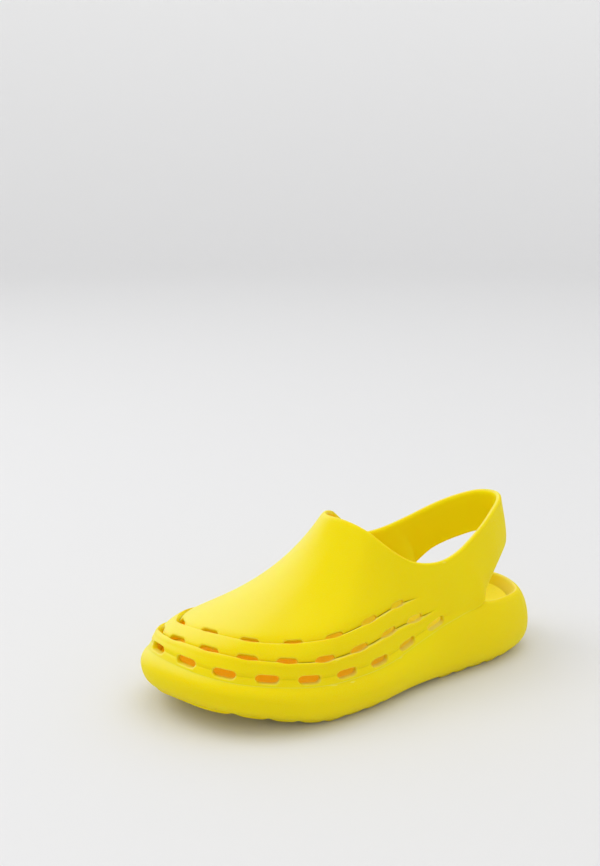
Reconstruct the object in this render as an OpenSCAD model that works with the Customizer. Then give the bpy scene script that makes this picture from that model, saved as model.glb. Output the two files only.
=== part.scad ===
// Moulded foam clog with a heel strap, left foot.
// Toe toward -Y, heel toward +Y, outer side of the foot toward +X, ground at z = 0.
// The clog is drawn on a ring of 32 stations: station 0 is the middle of the heel,
// 8 the outer side, 16 the middle of the toe and 24 the inner side.

/* [Clog] */
// Length from toe to heel
clog_l = 270; // [250:1:290]
// Width across the ball of the foot
clog_w = 117; // [108:1:126]
// Height of the tongue above the ground
clog_h = 108; // [102:1:116]

/* [Upper] */
// Thickness of the moulded wall
wall = 4; // [3:0.5:4.5]
// Depth of the steps between the toe bands
step_depth = 2.2; // [1:0.1:2.4]
// Depth of the crease above the platform
crease_depth = 1.1; // [0.5:0.1:1.6]
// Length of a vent slot
slot_l = 13; // [9:0.5:15]
// Height of a vent slot
slot_h = 5.5; // [4:0.5:6]

/* [Heel strap] */
// Distance of the flex line from the middle of the clog
flex_y = 66; // [64:0.5:67]
// Height of the flex line above the ground
flex_z = 63; // [62.5:0.5:64]
// Radius of the rounded strap root
root_r = 17.5; // [15:0.5:17.5]
// Clearance around the strap root
root_gap = 0.4; // [0.3:0.1:0.6]
// How far the strap can bend down, in degrees
bend_down = 22; // [10:1:22]
// How far the strap can bend up, in degrees
bend_up = 8; // [4:1:10]

/* [Platform] */
// Slope of the platform wall from its widest line to the upper
wall_inset = 6; // [5:0.5:6.5]
// Rounding of the bottom edge, sideways
edge_round = 10; // [8:0.5:12]
// Height of the widest line above the underside
belly_h = 14; // [12:0.5:15]
// Rise of the toe above the ground
toe_spring = 13.5; // [8:0.5:15]
// Rise of the heel above the ground
heel_spring = 3; // [1:0.5:6]
// Thickness of the footbed
footbed_t = 5; // [4:0.5:6]

/* [Tread] */
// Height of the tread lugs
lug_h = 2.2; // [1.5:0.1:3]
// Distance from one lug to the next
lug_pitch = 13.5; // [12:0.5:15]
// Width of the gap between two lugs
lug_gap = 3.5; // [2.5:0.5:5]

/* [Hidden] */

yellow = [0.96, 0.87, 0.08];
deep_yellow = [0.90, 0.78, 0.04];

// Sizes that the station lists below are drawn for.
drawn_l = 270;
drawn_w = 117;
drawn_h = 108;
stations = 32;
toe_station = 16;

// Widest line of the platform, every second station: [x, y].
platform_line = [
    [-1, 135], [29, 124], [42, 95], [45, 62], [48, 22], [56.5, -24], [54, -72], [28, -117],
    [-21, -135], [-55, -113], [-59.5, -70], [-51, -22], [-43, 22], [-41, 62], [-40, 95], [-29, 124]
];

// Height of the line where the upper meets the platform, at every station.
feather_height = [
    39.5, 39.5, 39.5, 40, 41, 41.5, 42, 38.5, 32.5, 27.5, 26, 26, 28, 31, 34.5, 37,
    37.5, 34, 30, 27, 25, 25, 26, 28.5, 33, 39, 42, 41.5, 41, 40, 39.5, 39.5
];

// Top edge of the foot opening and the strap at every station: [x, y, z].
throat_line = [
    [-1, 117.5, 104], [11, 111.5, 103], [20, 98, 99], [26.5, 84, 93],
    [31, 70, 87], [33.5, 58, 81.7], [34.3, 46, 78.3], [34.5, 33, 78.7],
    [32.5, 21, 82], [28.5, 11.5, 88.5], [24, 5, 94.5], [19, -0.3, 100],
    [13.5, -4.5, 103.3], [8, -8, 105.5], [3, -11.5, 107], [-2.5, -15, 107.8],
    [-7.5, -16, 108], [-12.3, -14.5, 107.9], [-16, -11, 107.5], [-19, -7, 106.3],
    [-22, -2.5, 104.3], [-25, 2, 101], [-28.5, 8, 96], [-31.7, 15, 89.5],
    [-34.7, 24.5, 82.3], [-36.2, 34.5, 79.5], [-35.8, 47, 80.5], [-34.5, 59, 83.5],
    [-32, 71, 87.8], [-27.5, 84, 93.7], [-21.5, 98, 99], [-13, 111.5, 103]
];

// Lower edge of the strap, from the middle of the heel forward on each side: [x, y, z].
strap_outer_line = [
    [-1, 122.5, 75], [13.5, 115.5, 72.5], [24.5, 100.5, 66],
    [31.5, 88, 58.5], [35.5, 79.5, 51], [38.5, 76, 44.5]
];
strap_inner_line = [
    [-1, 122.5, 75], [-15.5, 115.5, 72.5], [-26.5, 101, 66],
    [-33.5, 88.5, 59], [-36.5, 79.5, 51.5], [-38, 76, 44]
];
strap_stations = len(strap_outer_line) - 1;

// Shape of the wall by distance from the toe in stations: [lift at the foot, reach, drop at the throat].
wall_shape = [
    [0.37, 0.39, 0.88], [0.39, 0.39, 0.87], [0.38, 0.40, 0.85], [0.37, 0.42, 0.82], [0.38, 0.43, 0.77],
    [0.37, 0.44, 0.67], [0.37, 0.44, 0.58], [0.36, 0.44, 0.50], [0.37, 0.41, 0.43], [0.37, 0.40, 0.37],
    [0.38, 0.38, 0.33], [0.36, 0.36, 0.33], [0.33, 0.34, 0.33], [0.33, 0.33, 0.33], [0.33, 0.33, 0.33],
    [0.33, 0.33, 0.33], [0.33, 0.33, 0.33]
];

// Height up the wall of the lower and the upper step, by distance from the toe in stations.
step_height = [
    [12.5, 24.5], [14, 27], [15, 28.5], [14.8, 28.5], [14, 29], [14.2, 30], [15.5, 31.2], [17, 31],
    [13.5, 26.5], [10.5, 22.5], [10, 20.5], [10, 20], [10, 20], [10, 20], [10, 20], [10, 20], [10, 20]
];
// How much lower the lower step runs on the inner side.
inner_drop = 2;
crease_height = 3.5;
crease_half = 2.5;
highest_step = 34;
throat_band = 12;

// Distance from the toe, in stations, at which the crease and the two steps run out.
crease_end = 9.5;
step_ends = [8.9, 8.3];
fade_length = 0.9;
step_return = 7;
lip_run = 0.8;

// Vent rows: [distance of the first slot from the heel along the feather line, pitch, slots, row].
vent_rows = [[117, 25.4, 16, 0], [133, 25.4, 15, 1], [151, 29.6, 12, 2]];
crease_vent_rise = 0.7;
step_vent_rise = 1.7;
vent_depth = 12;
vent_sides = 12;

wall_samples = 24;
upper_first = 4.2;
strap_last = 6.8;
columns_per_station = 4;
probe = 0.05;

// Clearance between pieces that rest on each other.
seam = 0.2;
land_w = wall;
rim_crest = 0.5;
heel_start = 10;
heel_blend = 1.6;
seat_front_inset = 11;
seat_heel_inset = 14;
footbed_gap = 0.3;
dish_step = 7;
dish = 1.2;

// The underside rises forward of an oblique line under the ball of the foot, and behind the heel.
ball_turn = 19;
toe_rise_start = 62;
toe_rise_run = 55;
heel_rise_start = 100;
heel_rise_run = 35;
skew_columns = 125;

web_t = 0.8;
tread_inset = 8;
lug_chamfer = 1;
tread_reach = 160;
// Where the treads start and end, measured behind the ball line and from the middle of the clog.
forefoot_tread_v = [-118, -13];
heel_tread_v = [41, 119];
cut_r = 110;
cut_w = 120;
wedges = 8;
wedge_front = 118;
wedge_notch = -60;
wedge_play = 2;

function at(list, k) =
    let (n = len(list), i = floor(k), f = k - i)
    let (p0 = list[(i - 1 + 2 * n) % n], p1 = list[(i + 2 * n) % n])
    let (p2 = list[(i + 1 + 2 * n) % n], p3 = list[(i + 2 + 2 * n) % n])
    0.5 * (2 * p1 + (p2 - p0) * f + (2 * p0 - 5 * p1 + 4 * p2 - p3) * f * f
        + (3 * p1 - 3 * p2 + p3 - p0) * f * f * f);

function toe_distance(k) =
    let (m = (k + 2 * stations) % stations)
    abs(m - toe_station);

function by_toe_distance(list, k) =
    let (d = toe_distance(k), i = min(floor(d), toe_station - 1), f = d - i)
    list[i] * (1 - f) + list[i + 1] * f;

function unit(v) = v / norm(v);
function ease(x) = let (c = max(0, min(1, x))) c * c * (3 - 2 * c);
function mix(a, b, f) = a * (1 - f) + b * f;
function sized(p) = [p.x * clog_w / drawn_w, p.y * clog_l / drawn_l, p.z * clog_h / drawn_h];

// Platform outline at station k, moved inward by d.
function outline(k, d) =
    let (p = at(platform_line, k / 2))
    let (t = at(platform_line, k / 2 + probe) - at(platform_line, k / 2 - probe))
    let (n = unit([-t.y * clog_l / drawn_l, t.x * clog_w / drawn_w]))
    [p.x * clog_w / drawn_w - n.x * d, p.y * clog_l / drawn_l - n.y * d];

function on_outline(k, d, z) = let (p = outline(k, d)) [p.x, p.y, z];
function feather_z(k) = at(feather_height, k) * clog_h / drawn_h;
function feather(k) = on_outline(k, wall_inset, feather_z(k) + seam);

throat_ring = [for (p = throat_line) sized(p)];
foot_ring = [
    for (k = [0:stations - 1])
        k <= strap_stations ? sized(strap_outer_line[k])
        : k >= stations - strap_stations ? sized(strap_inner_line[stations - k])
        : feather(k)
];

// The four control points of the wall at station k, from its foot to the throat.
function wall_curve(k) =
    let (foot = at(foot_ring, k), top = at(throat_ring, k), d = top - foot)
    let (s = by_toe_distance(wall_shape, k))
    [foot, foot + [0, 0, d.z * s[0]], top - [d.x * s[1], d.y * s[1], d.z * s[2]], top];

function on_curve(c, t) =
    let (u = 1 - t)
    u * u * u * c[0] + 3 * u * u * t * c[1] + 3 * u * t * t * c[2] + t * t * t * c[3];

function along_curve(c, t) =
    let (u = 1 - t)
    u * u * (c[1] - c[0]) + 2 * u * t * (c[2] - c[1]) + t * t * (c[3] - c[2]);

// Pairs of [distance up the wall, curve parameter] for one wall curve.
function wall_measure(c) = [
    for (i = 0, a = 0; i <= wall_samples;
         a = a + norm(on_curve(c, (i + 1) / wall_samples) - on_curve(c, i / wall_samples)), i = i + 1)
        [a, i / wall_samples]
];

function wall_normal(k, t) =
    let (across = on_curve(wall_curve(k + probe), t) - on_curve(wall_curve(k - probe), t))
    unit(cross(along_curve(wall_curve(k), t), across));

// Outward position of a step whose lip is x below the point.
function step_shape(x) =
    x <= 0 ? 0
    : x < lip_run ? x / lip_run
    : x < 2 * lip_run ? 1
    : pow(max(0, 1 - (x - 2 * lip_run) / step_return), 2);

function running(end, k) = ease((end - toe_distance(k)) / fade_length);

function step_at(k, row) =
    let (drop = row == 0 ? inner_drop * ease((k - toe_station) / 2) : 0)
    min(by_toe_distance(step_height, k)[row], highest_step) - drop;

function relief(k, s) =
    crease_depth * running(crease_end, k) * max(0, 1 - abs(s - crease_height) / crease_half)
    + step_depth * running(step_ends[0], k) * step_shape(s - step_at(k, 0))
    + step_depth * running(step_ends[1], k) * step_shape(s - step_at(k, 1));

// Heights up the wall at which the upper has a row of points.
function upper_rows(k, top) =
    let (a = step_at(k, 0), b = min(step_at(k, 1), top - throat_band))
    [0, crease_height - 1.5, crease_height, crease_height + 2.5, (crease_height + a) / 2 + 1,
     a, a + lip_run, a + 3.5, (a + b) / 2 + 1.5, b, b + lip_run, b + 4, b + 8,
     for (i = [1:4]) mix(b + 8, top, i / 4)];

function strap_rows(k, top) = [for (i = [0:7]) top * i / 7];

// One column of the wall: its outer points, then its inner points, from the foot up.
function column(k, strap) =
    let (c = wall_curve(k), m = wall_measure(c), top = m[wall_samples][0])
    let (rows = strap ? strap_rows(k, top) : upper_rows(k, top))
    let (ts = [for (s = rows) lookup(s, m)])
    let (ns = [for (t = ts) wall_normal(k, t)])
    concat(
        [for (i = [0:len(ts) - 1]) on_curve(c, ts[i]) - ns[i] * (strap ? 0 : relief(k, rows[i]))],
        [for (i = [0:len(ts) - 1]) on_curve(c, ts[i]) - ns[i] * wall]
    );

function quad(a, b, c, d) = [[a, c, b], [a, d, c]];
function flat(lists) = [for (l = lists) for (x = l) x];

// Solid wall between two stations.
module wall_solid(first, last, strap) {
    count = round((last - first) * columns_per_station);
    columns = [for (i = [0:count]) column(mix(first, last, i / count), strap)];
    m = len(columns[0]);
    rows = m / 2;
    skins = [for (i = [0:count - 1]) for (j = [0:rows - 2])
        concat(
            quad(i * m + j, i * m + j + 1, (i + 1) * m + j + 1, (i + 1) * m + j),
            quad((i + 1) * m + rows + j, (i + 1) * m + rows + j + 1, i * m + rows + j + 1, i * m + rows + j)
        )];
    edges = [for (i = [0:count - 1])
        concat(
            quad(i * m, (i + 1) * m, (i + 1) * m + rows, i * m + rows),
            quad((i + 1) * m + rows - 1, i * m + rows - 1, i * m + m - 1, (i + 1) * m + m - 1)
        )];
    ends = [for (j = [0:rows - 2])
        concat(
            quad(j + 1, j, rows + j, rows + j + 1),
            quad(count * m + j, count * m + j + 1, count * m + rows + j + 1, count * m + rows + j)
        )];
    polyhedron(points = flat(columns), faces = flat(concat(skins, edges, ends)), convexity = 10);
}

// Station whose feather line lies the given distance along the ring from the heel.
ring_measure = [
    for (i = 0, a = 0; i <= stations * 4;
         a = a + norm(at(foot_ring, (i + 1) / 4) - at(foot_ring, i / 4)), i = i + 1)
        [a, i / 4]
];

// Solid that cuts one vent slot, centred at station k and height s up the wall.
module vent_cutter(k, s) {
    c = wall_curve(k);
    t = lookup(s, wall_measure(c));
    n = wall_normal(k, t);
    ahead = wall_curve(k + probe);
    along = unit(on_curve(ahead, lookup(s, wall_measure(ahead))) - on_curve(c, t));
    turn = atan2(n.y, n.x);
    tilt = acos(n.z);
    ex = [cos(turn) * cos(tilt), sin(turn) * cos(tilt), -sin(tilt)];
    ey = [-sin(turn), cos(turn), 0];
    translate(on_curve(c, t))
        rotate([0, tilt, turn])
            rotate([0, 0, atan2(along * ey, along * ex)])
                hull()
                    for (side = [-1, 1])
                        translate([side * (slot_l - slot_h) / 2, 0, 0])
                            cylinder(d = slot_h, h = vent_depth, center = true, $fn = vent_sides);
}

module vent_cutters() {
    for (row = vent_rows)
        for (i = [0:row[2] - 1]) {
            k = lookup((row[0] + row[1] * i) * clog_l / drawn_l, ring_measure);
            lift = row[3] == 0 ? crease_height + crease_vent_rise : step_at(k, row[3] - 1) + step_vent_rise;
            vent_cutter(k, lift);
        }
}

// Sector around the flex line between two angles, measured from +Y toward +Z, as a fan of wedges.
module sector(from, to) {
    rotate([90, 0, 90])
        for (i = [0:wedges - 1]) {
            a = mix(from, to, i / wedges);
            b = mix(from, to, (i + 1) / wedges);
            hull()
                linear_extrude(height = cut_w, center = true)
                    polygon([[0, 0], cut_r * [cos(a), sin(a)], cut_r * [cos(b), sin(b)]]);
        }
}

module at_flex_line() {
    translate([0, flex_y, flex_z])
        children();
}

module root_cylinder(r) {
    rotate([0, 90, 0])
        cylinder(r = r, h = cut_w, center = true, $fn = 96);
}

// Vamp, toe bands and sides in one moulded wall, with the three rows of vents.
module upper_shell() {
    color(yellow)
        difference() {
            wall_solid(upper_first, stations - upper_first, false);
            vent_cutters();
            at_flex_line() {
                root_cylinder(root_r + root_gap);
                sector(wedge_notch, wedge_front);
            }
        }
}

// Strap around the back of the heel, with a rounded root on each side.
module heel_strap() {
    color(yellow)
        intersection() {
            wall_solid(stations - strap_last, stations + strap_last, true);
            at_flex_line() {
                root_cylinder(root_r);
                sector(wedge_notch + bend_down + wedge_play, wedge_front - bend_up - wedge_play);
            }
        }
}

// Distance of a point behind the ball line, across that line.
function behind_ball(p) =
    p.y * drawn_l / clog_l * cos(ball_turn) - p.x * drawn_w / clog_w * sin(ball_turn);

function toe_rise(v) = toe_spring * pow(max(0, (-v - toe_rise_start) / toe_rise_run), 1.2);
function heel_rise(y) = heel_spring * pow(max(0, (y - heel_rise_start) / heel_rise_run), 1.6);

function underside_z(p) = toe_rise(behind_ball(p)) + heel_rise(p.y * drawn_l / clog_l) + lug_h;

function seat_z(y) =
    let (v = y * drawn_l / clog_l)
    20 + 5 * ease((-v - 55) / 70) + 5 * ease((v + 20) / 90);

// How much of the ring point belongs to the open heel cup.
function heel_share(k) = ease((toe_distance(k) - heel_start) / heel_blend);

// One column of the platform, from the edge of the underside round to the edge of the seat.
function platform_column(k) =
    let (h = heel_share(k), top = feather_z(k))
    let (low = underside_z(outline(k, edge_round)), belly = low + belly_h)
    let (seat = mix(seat_front_inset, seat_heel_inset, h))
    concat(
        [for (a = [0, 22, 45, 68, 90])
            on_outline(k, edge_round * (1 - sin(a)), low + belly_h * (1 - cos(a)))],
        [for (a = [30, 60, 90])
            on_outline(k, wall_inset * (1 - cos(a)), mix(belly, top, sin(a) * 0.25 + a / 120))],
        [
            on_outline(k, wall_inset + mix(land_w, 2.6, h), top + h * rim_crest),
            on_outline(k, mix(wall_inset + land_w + 0.3, 11, h), top - 0.8 + h * 1.4),
            on_outline(k, mix(seat - 0.6, 12.6, h), top - 2.5),
            on_outline(k, seat, seat_z(outline(k, seat).y))
        ]
    );

// Closed solid made of columns round the ring, bridged across the middle at both ends.
// The lower bridge starts skew columns round the ring, so that it follows the ball line.
module ring_solid(columns, skew = 0) {
    n = len(columns);
    m = len(columns[0]);
    wall_faces = [for (i = [0:n - 1]) for (j = [0:m - 2])
        let (a = i * m + j, b = ((i + 1) % n) * m + j)
        quad(a, a + 1, b + 1, b)];
    lower = [for (i = [0:n - 1]) ((i + skew) % n) * m];
    upper = [for (i = [0:n - 1]) i * m + m - 1];
    caps = [for (i = [0:n / 2 - 1])
        let (b = i + 1, c = n - i - 1, d = (n - i) % n)
        i == 0 ? [[lower[i], lower[c], lower[b]], [upper[b], upper[c], upper[i]]]
        : i == n / 2 - 1 ? [[lower[i], lower[d], lower[b]], [upper[b], upper[d], upper[i]]]
        : concat(quad(lower[i], lower[b], lower[c], lower[d]), quad(upper[b], upper[i], upper[d], upper[c]))];
    polyhedron(points = flat(columns), faces = flat(concat(wall_faces, caps)), convexity = 10);
}

// Thick platform sole, with the rounded heel cup and the seat for the footbed.
module platform_midsole() {
    color(yellow)
        ring_solid(
            [for (i = [0:stations * columns_per_station - 1]) platform_column(i / columns_per_station)],
            skew_columns
        );
}

function footbed_column(k) =
    let (d = mix(seat_front_inset, seat_heel_inset, heel_share(k)) + footbed_gap)
    let (e = outline(k, d), f = outline(k, d + dish_step), g = outline(k, d + 2 * dish_step))
    [
        [e.x, e.y, seat_z(e.y) + seam],
        [e.x, e.y, seat_z(e.y) + footbed_t],
        [f.x, f.y, seat_z(f.y) + footbed_t - dish * 2 / 3],
        [g.x, g.y, seat_z(g.y) + footbed_t - dish]
    ];

// Loose cushioned footbed, dished toward the middle.
module footbed() {
    color(deep_yellow)
        ring_solid([for (i = [0:stations * 2 - 1]) footbed_column(i / 2)]);
}

function tread_rise(v, front) = front ? toe_rise(v) : heel_rise(v);

// Side profile of a tread between v0 and v1: flat lugs hanging from a thin web.
function tread_profile(v0, v1, front) =
    let (count = floor((v1 - v0 + lug_gap) / lug_pitch), c = lug_chamfer, web = lug_h - web_t)
    let (lugs = [for (i = [0:count - 1]) let (a = v0 + i * lug_pitch, b = a + lug_pitch - lug_gap)
        [[a, tread_rise(a, front) + web], [a + c, tread_rise(a + c, front)],
         [b - c, tread_rise(b - c, front)], [b, tread_rise(b, front) + web]]])
    let (last = v0 + count * lug_pitch - lug_gap)
    let (steps = count * 2)
    let (vs = [for (i = [0:steps]) mix(last, v0, i / steps)])
    concat(flat(lugs), [for (v = vs) [v, tread_rise(v, front) + lug_h - seam]]);

module tread(span, front) {
    intersection() {
        scale([clog_w / drawn_w, clog_l / drawn_l, 1])
            rotate([90, 0, front ? 90 + ball_turn : 90])
                linear_extrude(height = tread_reach, center = true)
                    polygon(tread_profile(span[0], span[1], front));
        translate([0, 0, -1])
            linear_extrude(height = toe_spring + 2 * lug_h)
                polygon([for (i = [0:63]) outline(i / 2, tread_inset)]);
    }
}

// Cross lugs under the ball of the foot and the toe.
module forefoot_tread() {
    color(deep_yellow)
        tread(forefoot_tread_v, true);
}

// Cross lugs under the heel.
module heel_tread() {
    color(deep_yellow)
        tread(heel_tread_v, false);
}

upper_shell();
heel_strap();
platform_midsole();
footbed();
forefoot_tread();
heel_tread();
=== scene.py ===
import math

import bmesh
import bpy
import numpy as np
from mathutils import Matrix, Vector


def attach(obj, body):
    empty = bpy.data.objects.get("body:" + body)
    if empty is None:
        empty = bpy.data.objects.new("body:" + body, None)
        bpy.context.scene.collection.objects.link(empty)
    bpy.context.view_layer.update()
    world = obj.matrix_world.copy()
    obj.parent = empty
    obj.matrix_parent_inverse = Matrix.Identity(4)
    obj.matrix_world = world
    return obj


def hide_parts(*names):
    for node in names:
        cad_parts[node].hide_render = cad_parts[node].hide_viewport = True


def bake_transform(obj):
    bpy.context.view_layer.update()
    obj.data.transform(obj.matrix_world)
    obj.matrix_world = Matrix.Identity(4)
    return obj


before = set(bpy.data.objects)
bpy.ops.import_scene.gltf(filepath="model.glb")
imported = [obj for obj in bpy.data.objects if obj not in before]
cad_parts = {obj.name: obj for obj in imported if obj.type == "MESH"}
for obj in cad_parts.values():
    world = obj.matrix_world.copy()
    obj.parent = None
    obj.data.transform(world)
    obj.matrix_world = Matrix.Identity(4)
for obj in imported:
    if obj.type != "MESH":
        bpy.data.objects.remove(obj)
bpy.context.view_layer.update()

# Everything is drawn in millimetres on the same ring of stations as the CAD model:
# station 0 is the middle of the heel, 8 the outer side, 16 the toe and 24 the inner side.
MM = 0.001
STATIONS = 32
TOE = 16

PLATFORM_LINE = [
    (-1, 135), (29, 124), (42, 95), (45, 62), (48, 22), (56.5, -24), (54, -72), (28, -117),
    (-21, -135), (-55, -113), (-59.5, -70), (-51, -22), (-43, 22), (-41, 62), (-40, 95), (-29, 124),
]
FEATHER_HEIGHT = [
    39.5, 39.5, 39.5, 40, 41, 41.5, 42, 38.5, 32.5, 27.5, 26, 26, 28, 31, 34.5, 37,
    37.5, 34, 30, 27, 25, 25, 26, 28.5, 33, 39, 42, 41.5, 41, 40, 39.5, 39.5,
]
THROAT_LINE = [
    (-1, 117.5, 104), (11, 111.5, 103), (20, 98, 99), (26.5, 84, 93),
    (31, 70, 87), (33.5, 58, 81.7), (34.3, 46, 78.3), (34.5, 33, 78.7),
    (32.5, 21, 82), (28.5, 11.5, 88.5), (24, 5, 94.5), (19, -0.3, 100),
    (13.5, -4.5, 103.3), (8, -8, 105.5), (3, -11.5, 107), (-2.5, -15, 107.8),
    (-7.5, -16, 108), (-12.3, -14.5, 107.9), (-16, -11, 107.5), (-19, -7, 106.3),
    (-22, -2.5, 104.3), (-25, 2, 101), (-28.5, 8, 96), (-31.7, 15, 89.5),
    (-34.7, 24.5, 82.3), (-36.2, 34.5, 79.5), (-35.8, 47, 80.5), (-34.5, 59, 83.5),
    (-32, 71, 87.8), (-27.5, 84, 93.7), (-21.5, 98, 99), (-13, 111.5, 103),
]
# Lower edge of the strap, from the middle of the heel to its two feet.
STRAP_OUTER_LINE = [
    (-1, 122.5, 75), (13.5, 115.5, 72.5), (24.5, 100.5, 66),
    (31.5, 88, 58.5), (35.5, 79.5, 51), (38.5, 76, 44.5),
]
STRAP_INNER_LINE = [
    (-15.5, 115.5, 72.5), (-26.5, 101, 66), (-33.5, 88.5, 59), (-36.5, 79.5, 51.5), (-38, 76, 44),
]
# By distance from the toe in stations: lift at the foot, reach and drop at the throat.
WALL_SHAPE = [
    (0.37, 0.39, 0.88), (0.39, 0.39, 0.87), (0.38, 0.40, 0.85), (0.37, 0.42, 0.82), (0.38, 0.43, 0.77),
    (0.37, 0.44, 0.67), (0.37, 0.44, 0.58), (0.36, 0.44, 0.50), (0.37, 0.41, 0.43), (0.37, 0.40, 0.37),
    (0.38, 0.38, 0.33), (0.36, 0.36, 0.33), (0.33, 0.34, 0.33), (0.33, 0.33, 0.33), (0.33, 0.33, 0.33),
    (0.33, 0.33, 0.33), (0.33, 0.33, 0.33),
]
# By distance from the toe: height up the wall of the lower and the upper step.
STEP_HEIGHT = [
    (12.5, 24.5), (14, 27), (15, 28.5), (14.8, 28.5), (14, 29), (14.2, 30), (15.5, 31.2), (17, 31),
    (13.5, 26.5), (10.5, 22.5), (10, 20.5), (10, 20), (10, 20), (10, 20), (10, 20), (10, 20), (10, 20),
]
# How much lower the lower step runs on the inner side.
INNER_DROP = 2.0
CREASE_HEIGHT = 4.3
CREASE_DEPTH = 0.75
STEP_DEPTH = 2.3
WALL = 4.0
WALL_INSET = 6.0
EDGE_ROUND = 10.0
BELLY_HEIGHT = 14.0
TOE_SPRING = 13.5
HEEL_SPRING = 3.0
TOE_RISE_START = 62
TOE_RISE_RUN = 55
HEEL_RISE_START = 100
HEEL_RISE_RUN = 35
BALL_TURN = math.radians(19)
LUG_HEIGHT = 2.2
COLUMNS = 148
# Steps either way along a line over which its direction is measured.
PROBE = 0.05
NORMAL_PROBE = 0.25

# Distances from the toe, in stations, at which the crease and the lips have faded out.
CREASE_END = 9.5
LOWER_STEP_END = 8.9
UPPER_STEP_END = 8.3
FADE = 0.9
# The outward lean of the wall's foot starts to fade here.
LEAN_FADE_START = 9.4
# From here on the foot of the wall turns into the strap's lower edge.
STRAP_START = 10.5
# Up to here the foot of the wall and the rim of the platform are hard edges.
HARD_EDGE_END = 10.6

# For each row of vents: station of one vent, the vents behind it, the vents in the row, and
# the columns from one vent to the next.
VENTS = [(11.7, 4, 16, 6), (12.4, 4, 15, 6), (12.57, 3, 12, 7)]
VENT_COLUMNS = 3


def ease(x):
    x = np.clip(x, 0, 1)
    return x * x * (3 - 2 * x)


def spline(p0, p1, p2, p3, f):
    return 0.5 * (
        2 * p1 + (p2 - p0) * f + (2 * p0 - 5 * p1 + 4 * p2 - p3) * f**2 + (3 * p1 - 3 * p2 + p3 - p0) * f**3
    )


def ring(points, k):
    """Smooth closed curve through points, at stations k."""
    points = np.asarray(points, float)
    k = np.asarray(k, float)
    i = np.floor(k).astype(int)
    f = (k - i).reshape(k.shape + (1,) * (points.ndim - 1))
    return spline(*(points[(i + o) % len(points)] for o in (-1, 0, 1, 2)), f)


def toe_distance(k):
    return np.abs(np.mod(np.asarray(k, float), STATIONS) - TOE)


def by_toe_distance(table, k):
    """The table's rows at stations k, mirrored about the toe."""
    full = list(table[::-1]) + list(table[1:-1])
    return ring(full, k)


def outline(k, inset):
    """Plan of the platform at stations k, moved inward by inset."""
    k = np.asarray(k, float)
    p = ring(PLATFORM_LINE, k / 2)
    t = ring(PLATFORM_LINE, k / 2 + PROBE) - ring(PLATFORM_LINE, k / 2 - PROBE)
    n = np.stack([-t[..., 1], t[..., 0]], -1)
    n /= np.linalg.norm(n, axis=-1, keepdims=True)
    return p - n * np.asarray(inset, float)[..., None]


def on_outline(k, inset, z):
    """Points at height z above the outline moved inward by inset."""
    p = outline(k, np.broadcast_to(inset, np.shape(k)))
    return np.concatenate([p, np.broadcast_to(z, np.shape(k))[..., None]], -1)


def feather(k):
    """The line where the wall meets the platform."""
    return on_outline(k, WALL_INSET, ring(FEATHER_HEIGHT, k))


strap_count = len(STRAP_INNER_LINE)
strap_ring = feather(np.arange(STATIONS))
strap_ring[: strap_count + 1] = STRAP_OUTER_LINE
strap_ring[STATIONS - strap_count :] = STRAP_INNER_LINE[::-1]


def foot(k):
    """Lower edge of the wall: on the platform at the front and sides, under the strap at the back."""
    w = ease((toe_distance(k) - STRAP_START) / 0.4)[..., None]
    return feather(k) * (1 - w) + ring(strap_ring, k) * w


def wall_curve(k):
    """The four control points of the wall's section at stations k."""
    low, top = foot(k), ring(THROAT_LINE, k)
    d = top - low
    s = by_toe_distance(WALL_SHAPE, k)
    c1 = low.copy()
    c1[..., 2] += d[..., 2] * s[..., 0]
    c2 = top - np.stack([d[..., 0] * s[..., 1], d[..., 1] * s[..., 1], d[..., 2] * s[..., 2]], -1)
    return np.stack([low, c1, c2, top], -2)


def on_curve(c, t):
    t = t[..., None]
    u = 1 - t
    return (
        u**3 * c[..., 0, :]
        + 3 * u * u * t * c[..., 1, :]
        + 3 * u * t * t * c[..., 2, :]
        + t**3 * c[..., 3, :]
    )


def along_curve(c, t):
    """Direction up the section."""
    t = t[..., None]
    u = 1 - t
    return u * u * (c[..., 1, :] - c[..., 0, :]) + 2 * u * t * (c[..., 2, :] - c[..., 1, :]) + t * t * (
        c[..., 3, :] - c[..., 2, :]
    )


SAMPLES = np.linspace(0, 1, 33)


def wall_lengths(c):
    """Distance up each curve at the sample parameters."""
    p = on_curve(c[:, None], np.broadcast_to(SAMPLES, (len(c), len(SAMPLES))))
    step = np.linalg.norm(np.diff(p, axis=1), axis=2)
    return np.concatenate([np.zeros((len(c), 1)), np.cumsum(step, axis=1)], axis=1)


def wall_points(k, s):
    """Points of the wall at stations k and heights s up it, and its outward normals there."""
    shape = np.shape(k)
    k, s = np.ravel(k), np.ravel(s)
    c = wall_curve(k)
    lengths = wall_lengths(c)
    t = np.array([np.interp(a, l, SAMPLES) for a, l in zip(s, lengths)])
    across = on_curve(wall_curve(k + NORMAL_PROBE), t) - on_curve(wall_curve(k - NORMAL_PROBE), t)
    n = np.cross(along_curve(c, t), across)
    n /= np.linalg.norm(n, axis=1, keepdims=True)
    return on_curve(c, t).reshape(shape + (3,)), n.reshape(shape + (3,))


def running(end, k):
    """How much of a lip or crease is left at stations k: 1 up to near its end, then fading to 0."""
    return ease((end - toe_distance(k)) / FADE)


# Columns at equal distances along the foot of the wall, so that every vent starts on one.
fine_k = np.linspace(0, STATIONS, 1281)
fine_length = np.concatenate([[0], np.cumsum(np.linalg.norm(np.diff(foot(fine_k), axis=0), axis=1))])
pitch = fine_length[-1] / COLUMNS


def length_at(k):
    return np.interp(k, fine_k, fine_length)


first_length = length_at(VENTS[0][0]) - VENT_COLUMNS / 2 * pitch
column_length = first_length + pitch * np.arange(COLUMNS)
column_k = np.interp(np.mod(column_length, fine_length[-1]), fine_length, fine_k)


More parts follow.
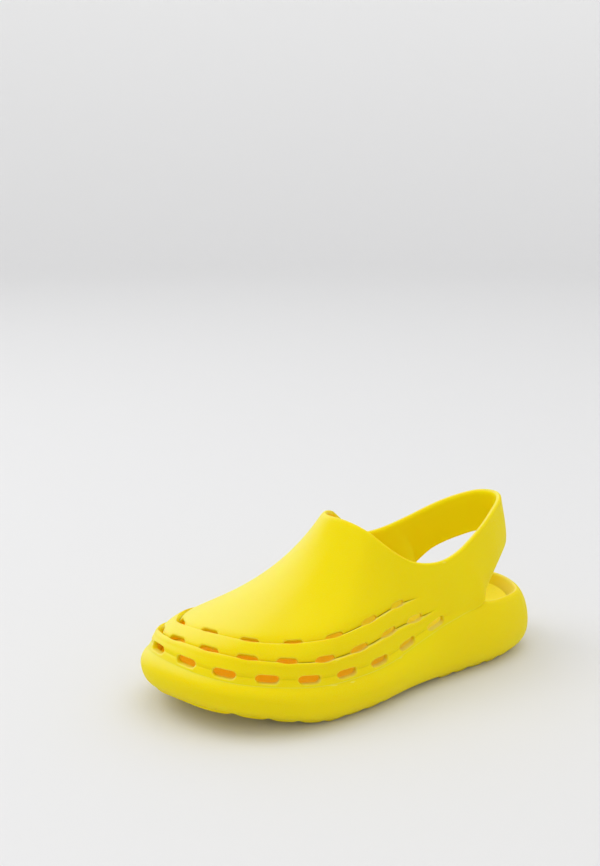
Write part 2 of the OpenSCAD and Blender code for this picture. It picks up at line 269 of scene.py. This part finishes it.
def mesh_object(name, points, faces, materials, creases=(), level=2, slots=None):
    """A smooth object in metres from points in millimetres, subdivided and applied."""
    mesh = bpy.data.meshes.new(name)
    mesh.from_pydata([tuple(p) for p in np.asarray(points) * MM], [], [list(map(int, f)) for f in faces])
    mesh.validate()
    crease = mesh.attributes.new("crease_edge", "FLOAT", "EDGE")
    wanted = {tuple(sorted(e[:2])): e[2] for e in creases}
    for edge in mesh.edges:
        crease.data[edge.index].value = wanted.get(tuple(sorted(edge.vertices)), 0.0)
    mesh.shade_smooth()
    for edge in mesh.edges:
        edge.use_edge_sharp = wanted.get(tuple(sorted(edge.vertices)), 0.0) >= 1.0
    obj = bpy.data.objects.new(name, mesh)
    bpy.context.scene.collection.objects.link(obj)
    for m in materials:
        mesh.materials.append(m)
    if slots:
        mesh.polygons.foreach_set("material_index", slots)
    outward(obj)
    if level:
        s = obj.modifiers.new("smooth", "SUBSURF")
        s.levels = level
        s.render_levels = level
        s.boundary_smooth = "PRESERVE_CORNERS"
        bpy.context.view_layer.update()
        final = bpy.data.meshes.new_from_object(obj.evaluated_get(bpy.context.evaluated_depsgraph_get()))
        obj.modifiers.clear()
        obj.data = final
        final.name = name
    return obj


def outward(obj):
    """Turn every face of a closed mesh to point out."""
    b = bmesh.new()
    b.from_mesh(obj.data)
    bmesh.ops.recalc_face_normals(b, faces=b.faces)
    b.to_mesh(obj.data)
    b.free()


# ---------------------------------------------------------------- materials
# Direction of the faces that carry a painted highlight: faces turned this way, toward the key light, are
# painted paler.
LIT_SIDE = (-0.45, -0.40, 0.80)
# Painted glow: emission that stands in for light coming through the thin wall and bouncing inside the toe.
GLOW_COLOR = (1.0, 0.36, 0.0)
# Along Y, in metres: the painted glow is full ahead of GLOW_FULL and down to GLOW_LEFT behind GLOW_START.
GLOW_START = 0.04
GLOW_FULL = -0.06
GLOW_LEFT = 0.1
# Along Y, in metres: where the base colour gives way to the rear colour, ending the lining's painted amber.
REAR_COLOR_START = -0.02
REAR_COLOR_FULL = 0.06
# How dark the painted shade in grooves and creases is, as a share of the deep colour.
PAINTED_GROOVE_SHADE = 0.45


def foam(name, color, deep, pale_speckle_and_highlight, grain=1.0, roughness=0.55, dimples=0.0, glow=0.0, rear=None):
    """Matte moulded foam: soft colour drift, speckle, painted highlights (paler on faces turned toward the
    key light and on convex edges), painted shade in grooves, pebble grain.

    glow is the strength of a painted glow, emission that stands in for light coming through the thin wall at
    the toe; rear is the colour behind the vents, where the lining's painted amber gives way.
    """
    m = bpy.data.materials.new(name)
    m.use_nodes = True
    nodes, links = m.node_tree.nodes, m.node_tree.links
    nodes.clear()
    out = nodes.new("ShaderNodeOutputMaterial")
    bsdf = nodes.new("ShaderNodeBsdfPrincipled")
    links.new(bsdf.outputs[0], out.inputs[0])
    place = nodes.new("ShaderNodeTexCoord").outputs["Object"]
    geometry = nodes.new("ShaderNodeNewGeometry").outputs

    def noise(scale, detail=3.0, rough=0.5):
        n = nodes.new("ShaderNodeTexNoise")
        n.inputs["Scale"].default_value = scale
        n.inputs["Detail"].default_value = detail
        n.inputs["Roughness"].default_value = rough
        links.new(place, n.inputs["Vector"])
        return n.outputs["Fac"]

    def remap(source, low, high, to_low, to_high):
        r = nodes.new("ShaderNodeMapRange")
        r.interpolation_type = "SMOOTHSTEP"
        for socket, value in zip(("From Min", "From Max", "To Min", "To Max"), (low, high, to_low, to_high)):
            r.inputs[socket].default_value = value
        links.new(source, r.inputs["Value"])
        return r.outputs[0]

    def mix(factor, a, b):
        x = nodes.new("ShaderNodeMix")
        x.data_type = "RGBA"
        links.new(factor, x.inputs[0])
        for socket, value in ((x.inputs[6], a), (x.inputs[7], b)):
            if isinstance(value, tuple):
                socket.default_value = (*value, 1)
            else:
                links.new(value, socket)
        return x.outputs[2]

    def bump(height, strength, distance, below=None):
        x = nodes.new("ShaderNodeBump")
        x.inputs["Strength"].default_value = strength
        x.inputs["Distance"].default_value = distance
        links.new(height, x.inputs["Height"])
        if below:
            links.new(below, x.inputs["Normal"])
        return x.outputs[0]

    ahead = nodes.new("ShaderNodeSeparateXYZ")
    links.new(place, ahead.inputs[0])
    base = mix(remap(noise(14, 2), 0.35, 0.65, 0.0, 1.0), color, deep)
    # Towards the heel the base colour gives way to rear; for the lining this ends the painted amber bounce
    # light of the front.
    if rear:
        base = mix(remap(ahead.outputs[1], REAR_COLOR_START, REAR_COLOR_FULL, 0.0, 1.0), base, rear)
    # Painted highlight: faces turned toward LIT_SIDE are mixed toward the pale colour.
    facing = nodes.new("ShaderNodeVectorMath")
    facing.operation = "DOT_PRODUCT"
    links.new(geometry["Normal"], facing.inputs[0])
    facing.inputs[1].default_value = LIT_SIDE
    base = mix(remap(facing.outputs["Value"], 0.45, 1.0, 0.0, 0.9), base, pale_speckle_and_highlight)
    base = mix(remap(noise(2200, 2), 0.42, 0.7, 0.0, 0.16), base, pale_speckle_and_highlight)
    # Painted highlight on convex edges and lips: sharp outer edges are mixed toward the pale colour.
    base = mix(remap(geometry["Pointiness"], 0.515, 0.57, 0.0, 0.5), base, pale_speckle_and_highlight)
    # Painted shade in grooves and creases: concave places are mixed toward a darker copy of the deep colour.
    shade = tuple(c * PAINTED_GROOVE_SHADE for c in deep)
    base = mix(remap(geometry["Pointiness"], 0.44, 0.497, 0.9, 0.0), base, shade)
    links.new(base, bsdf.inputs["Base Color"])
    links.new(remap(noise(500, 3), 0.3, 0.7, roughness - 0.07, roughness + 0.07), bsdf.inputs["Roughness"])
    bsdf.inputs["Subsurface Weight"].default_value = 0.35
    bsdf.inputs["Subsurface Radius"].default_value = (1.0, 0.45, 0.03)
    bsdf.inputs["Subsurface Scale"].default_value = 0.0015
    bsdf.inputs["Specular IOR Level"].default_value = 0.12
    bsdf.inputs["Specular Tint"].default_value = (1.0, 0.88, 0.25, 1)
    # Painted glow: the surface emits light, strongest at the toe and fading toward the heel.
    if glow:
        bsdf.inputs["Emission Color"].default_value = (*GLOW_COLOR, 1)
        shine = remap(ahead.outputs[1], GLOW_FULL, GLOW_START, glow, glow * GLOW_LEFT)
        links.new(shine, bsdf.inputs["Emission Strength"])
    grains = bump(noise(420, 2), 0.10 * grain, 0.0006, bump(noise(2000, 2, 0.6), 0.5 * grain, 0.0003))
    if dimples:
        cells = nodes.new("ShaderNodeTexVoronoi")
        cells.inputs["Scale"].default_value = 210
        links.new(place, cells.inputs["Vector"])
        grains = bump(remap(cells.outputs["Distance"], 0.15, 0.45, 0.0, 1.0), dimples, 0.0006, grains)
    links.new(grains, bsdf.inputs["Normal"])
    return m


YELLOW = (0.90, 0.735, 0.001)
DEEP_YELLOW = (0.88, 0.70, 0.001)
# Pale colour for the speckle and for the painted highlights on lit faces and edges.
SPECKLE_AND_HIGHLIGHT_YELLOW = (0.90, 0.80, 0.15)
# Painted warm bounce light: the lining's amber colours stand in for light reflected inside the clog.
PAINTED_BOUNCE_AMBER = (0.95, 0.66, 0.002)
INSIDE_YELLOW = (0.90, 0.80, 0.003)

upper_foam = foam("upper_foam", YELLOW, DEEP_YELLOW, SPECKLE_AND_HIGHLIGHT_YELLOW)
# The lining is painted amber as bounce light and glows with painted emission; behind the vents it takes the
# paler INSIDE_YELLOW.
lining_foam = foam(
    "lining_foam", PAINTED_BOUNCE_AMBER, (0.94, 0.62, 0.002), (0.95, 0.74, 0.02), glow=0.17, rear=INSIDE_YELLOW
)
platform_foam = foam("platform_foam", YELLOW, DEEP_YELLOW, SPECKLE_AND_HIGHLIGHT_YELLOW)
# The footbed also glows with painted emission.
footbed_foam = foam(
    "footbed_foam", (0.91, 0.735, 0.003), (0.90, 0.71, 0.002), (0.94, 0.82, 0.05), dimples=0.3, glow=0.14
)
tread_foam = foam("tread_foam", (0.88, 0.70, 0.004), (0.85, 0.66, 0.004), (0.9, 0.76, 0.08), 1.4, 0.62)


# ---------------------------------------------------------------- upper and strap
VENT_TOP = 6.6
# How far the foot of the wall leans out over the platform, row by row.
FOOT_LEAN = (1.4, 0.65, 0.15)


# Rows of points up the wall: at the foot, between the lowest vents and the lower lip, from just
# below a lip to where its step has run out, and as shares of the rest of the wall above.
FOOT_ROWS = (0, 1.3, 3.3, CREASE_HEIGHT, 5.3, VENT_TOP)
GAP_ROWS = (0.35, 0.7)
LIP_ROWS = (-2.6, -0.5, 0, 0.5, 1.5, 3.6, 6.6)
# The rest is measured from here above the upper lip.
REST_START = 6.8
REST_ROWS = (0.1, 0.22, 0.36, 0.52, 0.68, 0.82, 0.92)
RIM_BELOW_TOP = 1.0
# The least room between the upper lip and the throat.
LIP_TO_THROAT = 13


def row_heights(k, top):
    """Heights up the wall of the rows of points, at each column."""
    steps = by_toe_distance(STEP_HEIGHT, k)
    a = steps[:, 0] - INNER_DROP * ease((k - TOE) / 2)
    b = np.minimum(steps[:, 1], top - LIP_TO_THROAT)
    gap = a + LIP_ROWS[0] - VENT_TOP
    rows = [0 * a + h for h in FOOT_ROWS]
    rows += [VENT_TOP + gap * f for f in GAP_ROWS]
    for lip in (a, b):
        rows += [lip + h for h in LIP_ROWS]
    rest = top - (b + REST_START)
    rows += [b + REST_START + rest * f for f in REST_ROWS]
    rows += [top - RIM_BELOW_TOP]
    stepped = np.stack(rows, 1)
    stepped = np.maximum.accumulate(stepped, axis=1)
    count = stepped.shape[1]
    even = (top - RIM_BELOW_TOP)[:, None] * (np.arange(count) / (count - 1))[None]
    even[:, 1] = np.minimum(even[:, 1], 1.0)
    w = ease((toe_distance(k) - 8.2) / 1.8)[:, None]
    return stepped * (1 - w) + even * w


CREASE_ROW = FOOT_ROWS.index(CREASE_HEIGHT)
LOWER_LIP = len(FOOT_ROWS) + len(GAP_ROWS) + LIP_ROWS.index(0)
UPPER_LIP = LOWER_LIP + len(LIP_ROWS)
VENT_RISE = 3
# Lowest and highest row of points of each row of vents.
VENT_ROWS = [(1, 5), (LOWER_LIP, LOWER_LIP + VENT_RISE), (UPPER_LIP, UPPER_LIP + VENT_RISE)]
LIPS = [(LOWER_LIP, LOWER_STEP_END), (UPPER_LIP, UPPER_STEP_END)]
LIP_CREASE = 0.8
# How far a vent's corners move in and the middles of its ends move out, in columns.
CORNER_IN = 0.22
END_OUT = 0.14
# How far the lip dips under a vent, for the lip and the two rows below it.
LIP_DIPS = (0.7, 0.5, 0.25)
VENT_CREASE = 0.62
INNER_VENT_CREASE = 0.3
# What is left of the columns' lean in the rows above the highest vents.
LEAN_LEFT = (0.8, 0.55, 0.3, 0.1)
# Inward position of the rows from a lip upward, and of the rows below it, as parts of the step depth.
LIP_PROFILE = {-2: -0.18, -1: -0.24, 0: -0.06, 1: 1.12, 2: 0.66, 3: 0.34, 4: 0.06}

top_length = wall_lengths(wall_curve(column_k))[:, -1]
heights = row_heights(column_k, top_length)
rows = heights.shape[1]
inward = np.zeros_like(heights)
inward[:, CREASE_ROW] += CREASE_DEPTH * running(CREASE_END, column_k)
for neighbour in (CREASE_ROW - 1, CREASE_ROW + 1):
    inward[:, neighbour] += 0.2 * CREASE_DEPTH * running(CREASE_END, column_k)
on_platform = 1 - ease((toe_distance(column_k) - LEAN_FADE_START) / FADE)
for row, outset in enumerate(FOOT_LEAN):
    inward[:, row] -= outset * on_platform
for lip, end in LIPS:
    for offset, part in LIP_PROFILE.items():
        inward[:, lip + offset] += STEP_DEPTH * part * running(end, column_k)

stations = np.repeat(column_k[:, None], rows, axis=1)
step_k = np.mod(np.roll(column_k, -1) - column_k + STATIONS / 2, STATIONS) - STATIONS / 2
holes = set()
vents = []
for row, (station, behind, count, spacing) in enumerate(VENTS):
    low, high = VENT_ROWS[row]
    middle = round((length_at(station) - first_length) / pitch - VENT_COLUMNS / 2)
    for n in range(count):
        start = (middle + spacing * (n - behind)) % COLUMNS
        cols = [(start + c) % COLUMNS for c in range(VENT_COLUMNS + 1)]
        vents.append((cols, low, high))
        holes |= {(c, r) for c in cols[:-1] for r in range(low, high)}
        # Rounded ends.
        for col, side in ((cols[0], 1), (cols[-1], -1)):
            for r in range(low, high + 1):
                part = CORNER_IN if r in (low, high) else -END_OUT
                stations[col, r] += side * part * step_k[col]
        for col in cols[1:-1]:
            if row:
                for below, dip in enumerate(LIP_DIPS):
                    heights[col, low - below] -= dip
                inward[col, low] -= 0.1 * STEP_DEPTH

# The columns lean so that the ends of the vents stand square to their row.
plain = wall_points(stations, heights)[0]
along = np.roll(plain, -1, axis=0) - np.roll(plain, 1, axis=0)
along_k = (step_k + np.roll(step_k, 1))[:, None]
lean = np.zeros_like(stations)
for low, high in VENT_ROWS:
    up = plain[:, high] - plain[:, low]
    run = along[:, (low + high) // 2]
    tilt = -(up * run).sum(1) / (run * run).sum(1) * along_k[:, 0]
    tilt *= 1 - ease((toe_distance(column_k) - 9.6) / 0.8)
    span = heights[:, high] - heights[:, low]
    for r in range(low, high + 1):
        lean[:, r] = tilt * ((heights[:, r] - heights[:, low]) / span - 0.5)
for (_, low), (lip, _) in zip(VENT_ROWS, VENT_ROWS[1:]):
    high = lip - 1
    lean[:, high] = lean[:, lip]
    for r in range(low + 1, high):
        lean[:, r] = lean[:, low] + (lean[:, high] - lean[:, low]) * (r - low) / (high - low)
last = VENT_ROWS[-1][1]
for above, part in enumerate(LEAN_LEFT, 1):
    lean[:, last + above] = lean[:, last] * part
stations += lean

base, normal = wall_points(stations, heights)
outer = base - normal * inward[..., None]
thickness = WALL - 0.5 * np.clip(heights - (top_length[:, None] - 3), 0, 2) / 2
inner = base - normal * thickness[..., None]

rim_p, rim_n = wall_points(column_k, top_length)
rim_up = rim_p - wall_points(column_k, top_length - 1.5)[0]
rim_up /= np.linalg.norm(rim_up, axis=1, keepdims=True)
rim = rim_p - rim_n * (WALL / 2 - 0.3) + rim_up * 0.2
strap_share = ease((toe_distance(column_k) - 10.6) / 0.5)[:, None]
foot_down = foot(column_k) - wall_points(column_k, np.full(COLUMNS, 1.5))[0]
foot_down /= np.linalg.norm(foot_down, axis=1, keepdims=True)
foot_mid = (outer[:, 0] + inner[:, 0]) / 2 + foot_down * 0.5 * strap_share

points = np.concatenate([outer.reshape(-1, 3), inner.reshape(-1, 3), rim, foot_mid])
inner_at = COLUMNS * rows
rim_at = 2 * inner_at
foot_at = rim_at + COLUMNS


def out_id(c, r):
    return (c % COLUMNS) * rows + r


def in_id(c, r):
    return inner_at + (c % COLUMNS) * rows + r


faces = []
creases = []
for c in range(COLUMNS):
    n = (c + 1) % COLUMNS
    for r in range(rows - 1):
        if (c, r) not in holes:
            faces.append((out_id(c, r), out_id(n, r), out_id(n, r + 1), out_id(c, r + 1)))
    t = rows - 1
    faces.append((out_id(c, t), out_id(n, t), rim_at + n, rim_at + c))
    faces.append((rim_at + c, rim_at + n, in_id(n, t), in_id(c, t)))
    faces.append((out_id(n, 0), out_id(c, 0), foot_at + c, foot_at + n))
    faces.append((foot_at + n, foot_at + c, in_id(c, 0), in_id(n, 0)))
    if toe_distance(column_k[c]) < HARD_EDGE_END:
        creases.append((out_id(c, 0), out_id(n, 0), 1.0))
        creases.append((in_id(c, 0), in_id(n, 0), 1.0))
for lip, end in LIPS:
    for c in range(COLUMNS):
        sharp = LIP_CREASE * float(running(end, column_k[c]))
        creases.append((out_id(c, lip), out_id(c + 1, lip), sharp))
        creases.append((out_id(c, lip + 1), out_id(c + 1, lip + 1), sharp))
for cols, low, high in vents:
    loop = [(c, low) for c in cols] + [(cols[-1], r) for r in range(low + 1, high + 1)]
    loop += [(c, high) for c in cols[-2::-1]] + [(cols[0], r) for r in range(high - 1, low, -1)]
    for a, b in zip(loop, loop[1:] + loop[:1]):
        faces.append((out_id(*a), out_id(*b), in_id(*b), in_id(*a)))
        creases.append((out_id(*a), out_id(*b), VENT_CREASE))
        creases.append((in_id(*a), in_id(*b), INNER_VENT_CREASE))
shown = len(faces)
for c in range(COLUMNS):
    n = (c + 1) % COLUMNS
    for r in range(rows - 1):
        if (c, r) not in holes:
            faces.append((in_id(c, r), in_id(c, r + 1), in_id(n, r + 1), in_id(n, r)))

slots = [0] * shown + [1] * (len(faces) - shown)
materials = [upper_foam, lining_foam]
upper = mesh_object("clog_upper_and_strap", points, faces, materials, creases, slots=slots)
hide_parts("upper_shell", "heel_strap")
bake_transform(upper)


# ---------------------------------------------------------------- platform
def ground_z(p):
    """Height of the lug faces at points p: they rise forward of an oblique line and at the heel."""
    v = p[..., 1] * math.cos(BALL_TURN) - p[..., 0] * math.sin(BALL_TURN)
    return toe_rise(v) + heel_rise(p[..., 1])


def toe_rise(v):
    return TOE_SPRING * np.maximum(0, (-v - TOE_RISE_START) / TOE_RISE_RUN) ** 1.2


def heel_rise(y):
    return HEEL_SPRING * np.maximum(0, (y - HEEL_RISE_START) / HEEL_RISE_RUN) ** 1.6


def seat_z(y):
    """Height of the seat under the footbed: low at the ball, higher at the toe and the heel."""
    return 20 + 5 * ease((-y - 55) / 70) + 5 * ease((y + 20) / 90)


def ladder(ids):
    """Faces that bridge a closed ring of points from side to side."""
    n = len(ids)
    result = []
    for m in range(n // 2):
        quad = [ids[m], ids[(m + 1) % n], ids[-m - 1], ids[-m % n]]
        result.append([v for i, v in enumerate(quad) if v not in quad[:i]])
    return result


def ring_solid(grid, start=0, skew=0):
    """Points and faces of a closed solid from rings of points: grid[row][column]."""
    count, n = grid.shape[:2]
    result = []
    for r in range(count - 1):
        for c in range(n):
            d = (c + 1) % n
            result.append((r * n + c, r * n + d, (r + 1) * n + d, (r + 1) * n + c))
    result += ladder([(start + skew + c) % n for c in range(n)])
    result += ladder([(count - 1) * n + (start + c) % n for c in range(n)])
    return grid.reshape(-1, 3), result


# Height of the small fillet between the rim of the heel cup and the strap.
STRAP_FILLET = 3.2


def platform_rings(k):
    h = ease((toe_distance(k) - 9.9) / 1.1)
    top = ring(FEATHER_HEIGHT, k)
    low = ground_z(outline(k, np.full(np.shape(k), EDGE_ROUND))) + LUG_HEIGHT
    belly = low + BELLY_HEIGHT
    seat = 11 + 3 * h
    under = outline(k, np.full(np.shape(k), EDGE_ROUND + 8))
    rings = [on_outline(k, EDGE_ROUND + 8, ground_z(under) + LUG_HEIGHT), on_outline(k, EDGE_ROUND + 1, low)]
    for a in (14, 32, 50, 70, 90):
        a = math.radians(a)
        rings.append(on_outline(k, EDGE_ROUND * (1 - math.sin(a)), low + BELLY_HEIGHT * (1 - math.cos(a))))
    away = toe_distance(k)
    joint = WALL_INSET - FOOT_LEAN[0] * (1 - ease((away - LEAN_FADE_START) / FADE))
    for part, inset in ((0.25, 0.05), (0.5, 0.21), (0.72, 0.46), (0.88, 0.74)):
        rings.append(on_outline(k, inset * joint, belly + (top - belly) * part))
    rings.append(on_outline(k, joint * 0.9, belly + (top - belly) * 0.955))
    feather_row = len(rings)
    top = top + STRAP_FILLET * ease((away - 10.55) / 0.3) * (1 - ease((away - 10.85) / 0.5))
    rings.append(on_outline(k, joint + 0.7 * h, top + 0.35 * h))
    rings.append(on_outline(k, WALL_INSET + 2.0 + 0.3 * h, top + 1.5 * h))
    rings.append(on_outline(k, WALL_INSET + 4.0 - 0.6 * h, top + 1.4 * h))
    rings.append(on_outline(k, WALL_INSET + 4.3 - 0.1 * h, top - 0.8 + 1.0 * h))
    rings.append(on_outline(k, seat - 0.5 - 2.2 * h, top - 3.5))
    rings.append(on_outline(k, seat - 0.2 - 0.6 * h, seat_z(outline(k, seat)[:, 1]) + 1.5 + 4.5 * h))
    rings.append(on_outline(k, seat, seat_z(outline(k, seat)[:, 1])))
    rings.append(on_outline(k, seat + 6, seat_z(outline(k, seat + 6)[:, 1])))
    return np.stack(rings), feather_row


heel_column = int(np.argmin(np.minimum(column_k, STATIONS - column_k)))
rings, feather_row = platform_rings(column_k)
points, faces = ring_solid(rings, heel_column, round(COLUMNS * 31.25 / STATIONS))
creases = []
for c in range(COLUMNS):
    d = (c + 1) % COLUMNS
    if toe_distance(column_k[c]) < HARD_EDGE_END:
        creases.append((feather_row * COLUMNS + c, feather_row * COLUMNS + d, 1.0))
platform = mesh_object("platform_sole", points, faces, [platform_foam], creases)
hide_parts("platform_midsole")
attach(platform, "clog")


# ---------------------------------------------------------------- footbed
def footbed_rings(k):
    h = ease((toe_distance(k) - 9.6) / 1.6)
    edge = 11.3 + 3 * h
    rings = []
    profile = [(6, 0.0, 0), (0.6, 0.0, 0), (0, 0.8, 0), (0, 4.0, 4.6), (0.4, 4.9, 4.9), (2.0, 4.8, 3.6)]
    profile += [(4.5, 4.4, 2.0), (8, 4.1, 0.8), (12, 3.8, 0.2), (15.5, 3.6, 0)]
    for inset, lift, cup in profile:
        y = outline(k, edge + inset)[:, 1]
        rings.append(on_outline(k, edge + inset, seat_z(y) + lift + cup * h))
    return np.stack(rings)


bed_k = np.arange(0, STATIONS, STATIONS / 96)
points, faces = ring_solid(footbed_rings(bed_k))
footbed = mesh_object("footbed_insert", points, faces, [footbed_foam])
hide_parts("footbed")
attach(footbed, "clog")

# ---------------------------------------------------------------- treads
LUG_PITCH = 13.5
LUG_GAP = 3.5
WEB = 0.8
TREAD_INSET = 7.6
LUG_ROUND = 1.6


def edge_form(near):
    """Lift of the tread, share of the web and share of the lug this near to its edge."""
    if near == 0:
        return 0.38, 0.3, 0.0
    if near < 0.02:
        return 0.2, 0.8, 0.8
    return 0.0, 1.0, 1.0


def tread(name, node, v0, v1, turn, rise):
    """Cross lugs on a thin web, following the edge of the sole; v runs along the tread, u across it."""
    lugs = int((v1 - v0 + LUG_GAP) // LUG_PITCH)
    first = v1 + LUG_GAP - lugs * LUG_PITCH
    edge = outline(np.linspace(0, STATIONS, 1281)[:-1], np.full(1280, TREAD_INSET))
    c, s = math.cos(turn), math.sin(turn)
    edge_v = edge[:, 1] * c - edge[:, 0] * s
    edge_u = edge[:, 0] * c + edge[:, 1] * s
    profile = []
    for n in range(lugs):
        b = first + n * LUG_PITCH + LUG_PITCH - LUG_GAP
        a = max(b - LUG_PITCH + LUG_GAP, edge_v.min() + 0.4)
        profile += [(a, 0.0), (a + 0.35, 0.6), (a + LUG_ROUND, 0.97)]
        profile += [(a + (b - a) * f, 1.0) for f in (0.4, 0.6)]
        profile += [(b - LUG_ROUND, 0.97), (b - 0.35, 0.6), (b, 0.0)]
        if n < lugs - 1:
            profile += [(b + LUG_GAP / 2, 0.0)]
    split_low, split_high = int(np.argmin(edge_v)), int(np.argmax(edge_v))
    across = (0.0, 0.012, 0.045, 0.12, 0.25, 0.4, 0.6, 0.75, 0.88, 0.955, 0.988, 1.0)
    sides = []
    for start, end in ((split_high, split_low), (split_low, split_high)):
        ids = np.arange(start, end + (len(edge) if end < start else 0) + 1) % len(edge)
        order = ids[np.argsort(edge_v[ids])]
        sides.append((edge_v[order], edge_u[order]))
    top, bottom = [], []
    for v, drop in profile:
        ends = sorted(float(np.interp(v, *side)) for side in sides)
        under = float(rise(np.array(v))) + LUG_HEIGHT
        for f in across:
            u = ends[0] + (ends[1] - ends[0]) * f
            x, y = u * c - v * s, u * s + v * c
            near = min(f, 1 - f)
            raised, thick, shape = edge_form(near)
            top.append((x, y, under + raised))
            bottom.append((x, y, under + raised - WEB * thick - (LUG_HEIGHT - WEB) * drop * shape))
    w, n = len(across), len(profile)
    points = top + bottom
    faces = []
    for r in range(n - 1):
        for i in range(w - 1):
            a, b = r * w + i, (r + 1) * w + i
            faces.append((a, a + 1, b + 1, b))
            faces.append((n * w + a, n * w + b, n * w + b + 1, n * w + a + 1))
    border = list(range(w)) + [r * w + w - 1 for r in range(1, n)]
    border += [(n - 1) * w + i for i in range(w - 2, -1, -1)] + [r * w for r in range(n - 2, 0, -1)]
    for a, b in zip(border, border[1:] + border[:1]):
        faces.append((a, b, n * w + b, n * w + a))
    obj = mesh_object(name, points, faces, [tread_foam], level=1)
    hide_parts(node)
    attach(obj, "clog")
    return obj


tread("tread_front", "forefoot_tread", -118.0, -13.5, BALL_TURN, toe_rise)
tread("tread_heel", "heel_tread", 41.0, 118.5, 0.0, heel_rise)

# ---------------------------------------------------------------- stage
FLOOR_RADIUS = 2.6
BOWL_RADIUS = 1.2
WALL_TOP = 1.6
PAPER = (0.765, 0.765, 0.77, 1)
PAPER_HIGH_UP = (0.95, 0.95, 0.95, 1)
SKYLIGHT = 0.85


def backdrop():
    """A round floor that curves up into a wall on every side."""
    profile = [(0.0, 0.0), (0.4, 0.0), (1.2, 0.0), (FLOOR_RADIUS, 0.0)]
    for i in range(1, 13):
        a = math.pi / 2 * i / 12
        profile.append((FLOOR_RADIUS + BOWL_RADIUS * math.sin(a), BOWL_RADIUS * (1 - math.cos(a))))
    profile.append((FLOOR_RADIUS + BOWL_RADIUS, WALL_TOP))
    turns = 96
    points = [(0, 0, 0)]
    for r, z in profile[1:]:
        for t in range(turns):
            a = 2 * math.pi * t / turns
            points.append((r * math.cos(a), r * math.sin(a), z))
    faces = [(0, 1 + t, 1 + (t + 1) % turns) for t in range(turns)]
    for row in range(len(profile) - 2):
        first = 1 + row * turns
        for t in range(turns):
            n = (t + 1) % turns
            faces.append((first + t, first + turns + t, first + turns + n, first + n))
    mesh = bpy.data.meshes.new("backdrop")
    mesh.from_pydata(points, [], faces)
    mesh.shade_smooth()
    obj = bpy.data.objects.new("backdrop", mesh)
    bpy.context.scene.collection.objects.link(obj)
    m = bpy.data.materials.new("studio_paper")
    m.use_nodes = True
    bsdf = m.node_tree.nodes["Principled BSDF"]
    nodes, links = m.node_tree.nodes, m.node_tree.links
    height = nodes.new("ShaderNodeSeparateXYZ")
    links.new(nodes.new("ShaderNodeNewGeometry").outputs["Position"], height.inputs[0])
    ramp = nodes.new("ShaderNodeMapRange")
    for socket, value in (("From Max", 1.0), ("To Min", 0.0), ("To Max", 1.0)):
        ramp.inputs[socket].default_value = value
    links.new(height.outputs[2], ramp.inputs["Value"])
    shade = nodes.new("ShaderNodeMix")
    shade.data_type = "RGBA"
    links.new(ramp.outputs[0], shade.inputs[0])
    shade.inputs[6].default_value = PAPER
    shade.inputs[7].default_value = PAPER_HIGH_UP
    links.new(shade.outputs[2], bsdf.inputs["Base Color"])
    bsdf.inputs["Roughness"].default_value = 0.9
    bsdf.inputs["Specular IOR Level"].default_value = 0.1
    mesh.materials.append(m)


backdrop()


def softbox(name, place, target, size, watts, color=(1, 1, 1)):
    light = bpy.data.lights.new(name, "AREA")
    light.shape = "SQUARE"
    light.size = size
    light.energy = watts
    light.color = color
    obj = bpy.data.objects.new(name, light)
    obj.location = place
    obj.rotation_euler = (Vector(target) - Vector(place)).to_track_quat("-Z", "Y").to_euler()
    bpy.context.scene.collection.objects.link(obj)


softbox("key", (-1.0, -1.3, 1.9), (0, 0, 0.05), 1.4, 14)
softbox("top", (0.2, 0.3, 2.8), (0, 0, 0), 2.4, 10)

world = bpy.data.worlds.new("studio")
bpy.context.scene.world = world
bpy.context.scene.view_settings.view_transform = "Standard"
world.use_nodes = True
world.node_tree.nodes["Background"].inputs[0].default_value = (1, 1, 1, 1)
world.node_tree.nodes["Background"].inputs[1].default_value = SKYLIGHT

# ---------------------------------------------------------------- camera
LENS = 47.7
CAMERA_PLACE = (0.560, -0.3892, 0.3241)
LOOKS_DOWN = 13.66
TURNED = 58.0

camera_data = bpy.data.cameras.new("camera")
camera = bpy.data.objects.new("camera", camera_data)
bpy.context.scene.collection.objects.link(camera)
camera_data.lens = LENS
camera_data.sensor_width = 36
camera.location = CAMERA_PLACE
camera.rotation_euler = (math.radians(90 - LOOKS_DOWN), 0, math.radians(TURNED))
bpy.context.scene.camera = camera
